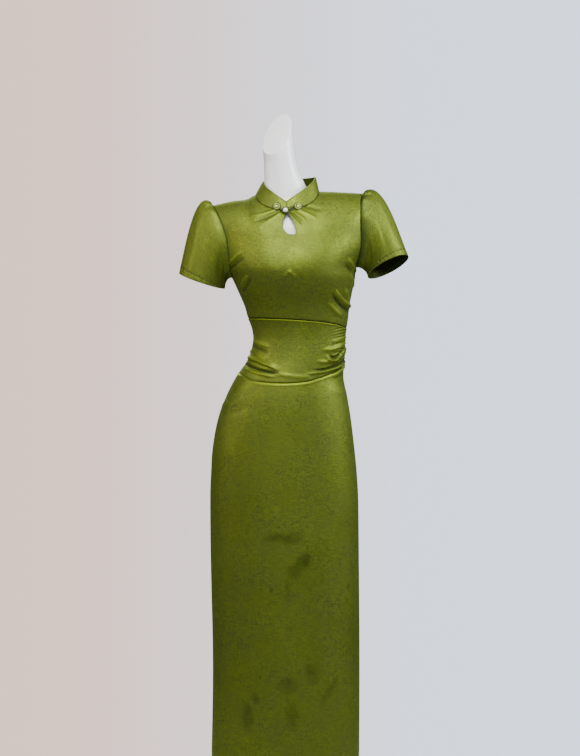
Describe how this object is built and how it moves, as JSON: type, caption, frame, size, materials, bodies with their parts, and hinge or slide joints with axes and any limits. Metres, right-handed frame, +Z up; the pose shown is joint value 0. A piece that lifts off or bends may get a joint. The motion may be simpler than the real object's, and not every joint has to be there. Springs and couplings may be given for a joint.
{
  "type": "cheongsam dress on a limbless dress form",
  "caption": "Long fitted cheongsam with stand collar, keyhole, frog closure, ruched waistband and short puffed sleeves, worn by a headless limbless dress form on a pole and round base.",
  "frame": {"origin": "centre of the round base's underside, on the floor below the pole", "axes": "+Z up the form, +X to the wearer's left, which is the viewer's right, and -Y out of the dress's front"},
  "size_m": [0.5513, 0.31, 1.6226],
  "materials": {
    "satin": "olive green satin jacquard with a soft sheen",
    "cord": "dark green twisted cord",
    "pearl": "pearl lustre",
    "metal": "brushed",
    "form": "white satin shell",
    "stand": "white satin paint"
  },
  "bodies": {
    "dress": {"bodice_front": "satin", "bodice_back_left": "satin", "bodice_back_right": "satin", "sleeve_left": "satin", "sleeve_right": "satin", "collar_left": "satin", "collar_right": "satin", "waistband_front": "satin", "waistband_back_left": "satin", "waistband_back_right": "satin", "skirt_front": "satin", "skirt_back_left": "satin", "skirt_back_right": "satin", "frog_rosette_left": "satin", "frog_rosette_right": "satin", "frog_loop": "cord", "frog_stem": "cord", "pearl_bead": "pearl", "zip_slider": "metal", "form_torso": "form", "form_pole": "stand", "form_base": "stand"},
    "pull": {"zip_pull": "metal"}
  },
  "joints": [
    {"name": "zip_pull_swing", "type": "hinge", "parent": "dress", "child": "pull", "pos_m": [0.00775, 0.05406, 1.45225], "axis": [1, 0, 0], "range_deg": [0, 150]}
  ]
}
